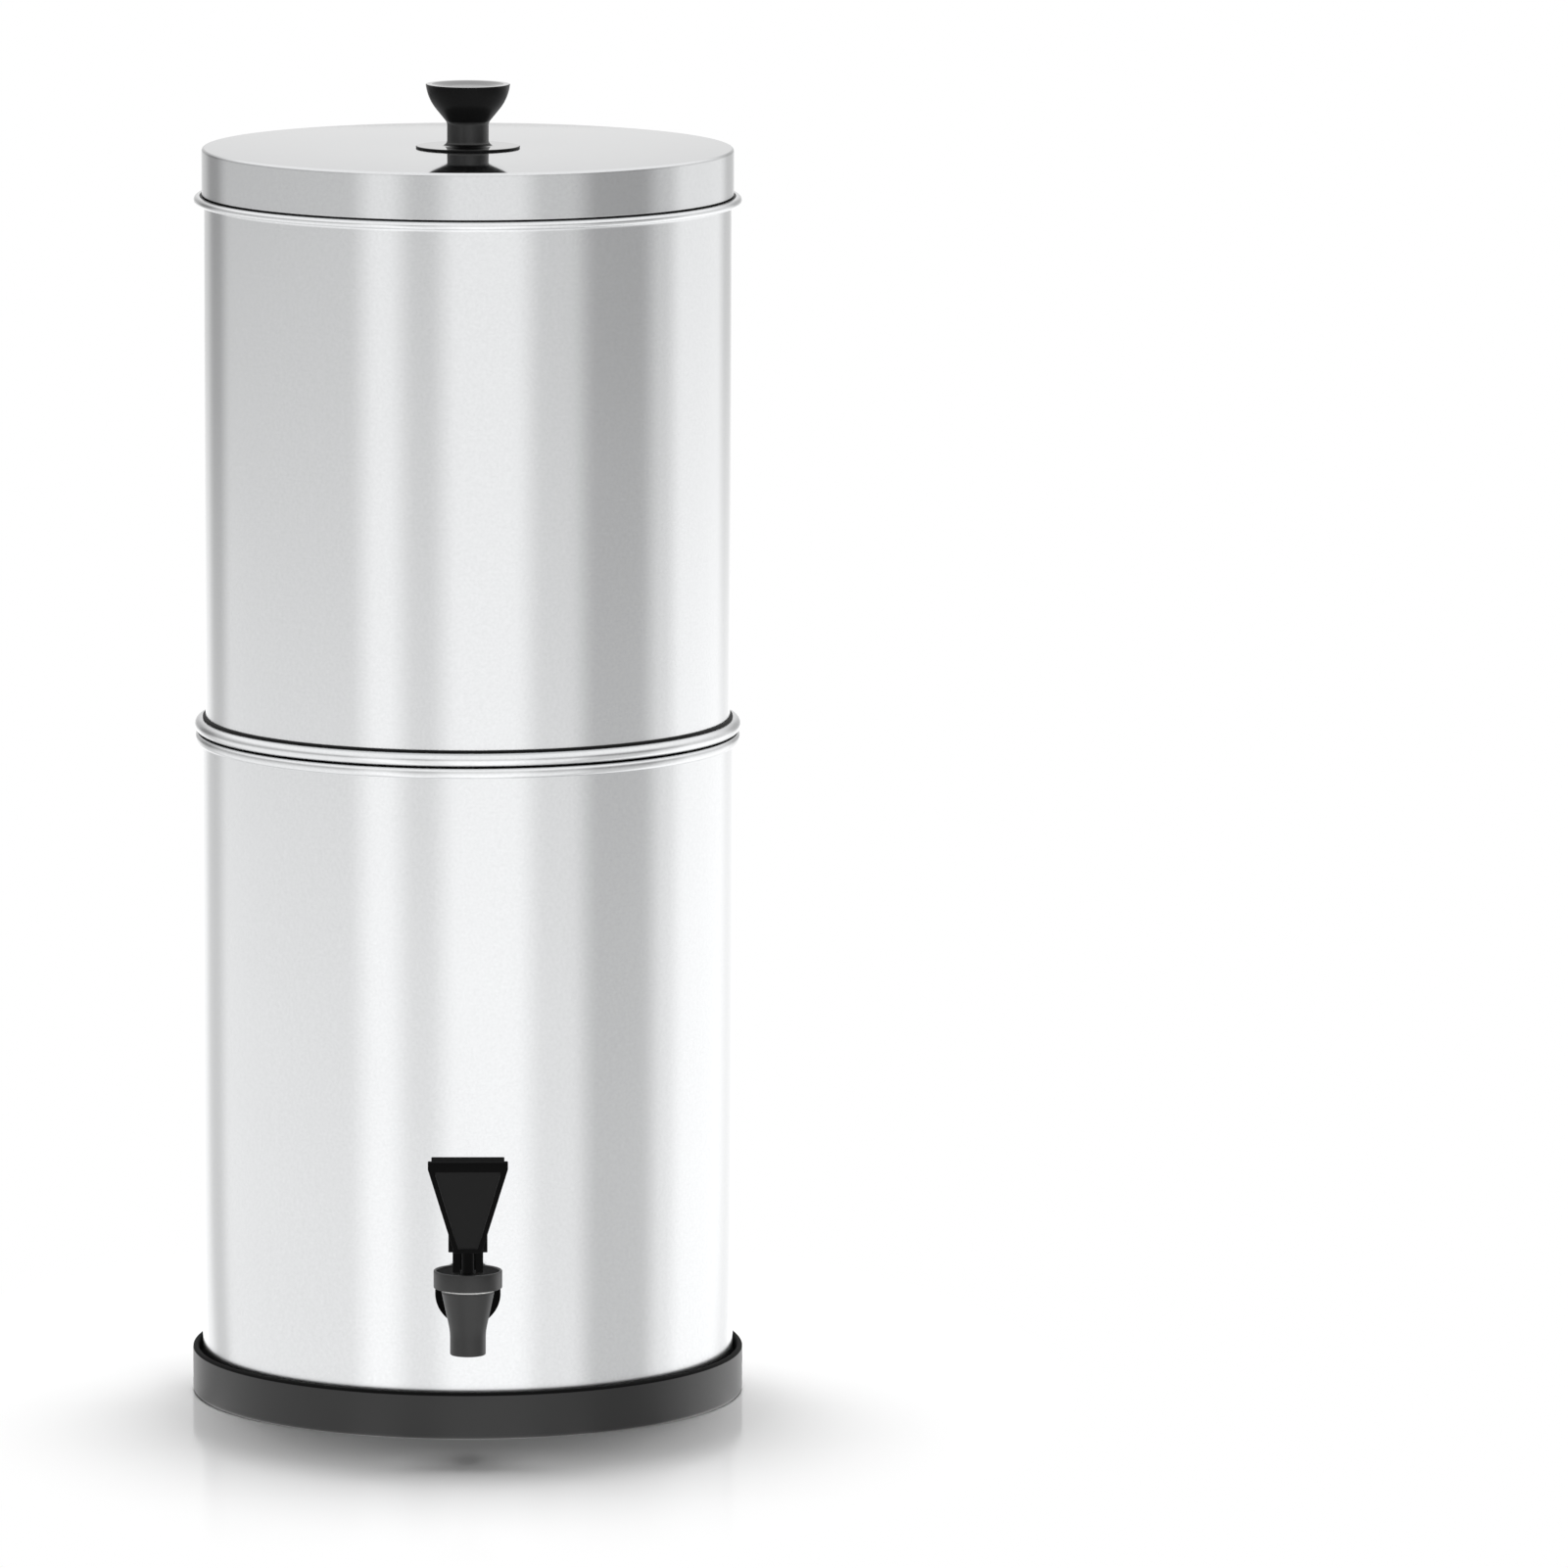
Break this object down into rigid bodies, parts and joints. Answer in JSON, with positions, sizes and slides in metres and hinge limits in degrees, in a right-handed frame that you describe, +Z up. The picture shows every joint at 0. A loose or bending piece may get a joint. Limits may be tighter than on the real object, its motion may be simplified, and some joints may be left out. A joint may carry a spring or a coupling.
{
  "type": "gravity water filter with tap",
  "caption": "Stacked stainless drum water filter: a lidded upper chamber with carbon filter elements drips into a lower chamber with a lever tap, on a black base ring.",
  "frame": {"origin": "middle of the base ring's underside, on the worktop", "axes": "+Z up along the chambers' axis, -Y to the front, where the tap points, +X to the right seen from the front"},
  "size_m": [0.224, 0.2757, 0.5339],
  "materials": {
    "stainless_sheet": "polished stainless sheet",
    "steel_parts": "turned or drawn stainless",
    "knob_moulding": "glossy black moulding",
    "black_rubber": "satin black rubber",
    "black_silicone": "matt black silicone",
    "clear_silicone": "translucent silicone",
    "tap_moulding": "satin dark grey moulding",
    "lever_moulding": "fine-grained black moulding",
    "nylon_black": "glossy black moulding",
    "cap_moulding": "satin black moulding",
    "carbon_block": "pressed granular carbon",
    "seal_tan": "matt beige rubber",
    "spacer_plastic": "translucent natural plastic",
    "brass": "turned brass"
  },
  "bodies": {
    "lower": {"base_ring": "black_rubber", "lower_chamber": "stainless_sheet", "tap_body": "tap_moulding", "tap_outer_washer": "black_silicone", "tap_inner_washer": "clear_silicone", "tap_nut": "tap_moulding", "tap_bonnet": "tap_moulding", "return_spring": "steel_parts"},
    "upper": {"upper_chamber": "stainless_sheet", "seam_gasket": "black_silicone", "filter_block_left": "carbon_block", "filter_end_cap_left": "cap_moulding", "filter_stem_cap_left": "cap_moulding", "seal_washer_left": "seal_tan", "stem_spacer_left": "spacer_plastic", "wing_nut_left": "nylon_black", "filter_block_right": "carbon_block", "filter_end_cap_right": "cap_moulding", "filter_stem_cap_right": "cap_moulding", "seal_washer_right": "seal_tan", "stem_spacer_right": "spacer_plastic", "wing_nut_right": "nylon_black"},
    "lid": {"lid": "stainless_sheet", "knob": "knob_moulding", "knob_insert": "brass", "knob_washer": "steel_parts", "knob_screw": "steel_parts"},
    "valve": {"valve_stem": "lever_moulding", "seat_cup": "clear_silicone"},
    "lever": {"tap_lever": "lever_moulding", "lever_pin": "steel_parts"}
  },
  "joints": [
    {"name": "upper_lift", "type": "slide", "parent": "lower", "child": "upper", "axis": [0, 0, 1], "range_m": [0, 0.12]},
    {"name": "lid_lift", "type": "slide", "parent": "upper", "child": "lid", "axis": [0, 0, 1], "range_m": [0, 0.2]},
    {"name": "stem_lift", "type": "slide", "parent": "lower", "child": "valve", "axis": [0, 0, 1], "range_m": [0, 0.00298], "stiffness_N_per_m": 550, "springref_m": -0.002, "deforming": ["return_spring"]},
    {"name": "lever_tilt", "type": "hinge", "parent": "valve", "child": "lever", "pos_m": [0, -0.146, 0.0861], "axis": [1, 0, 0], "range_deg": [0, 30]}
  ],
  "couplings": [
    {"joint": "lever_tilt", "follows": "stem_lift", "rad_per_m": 175.41}
  ]
}
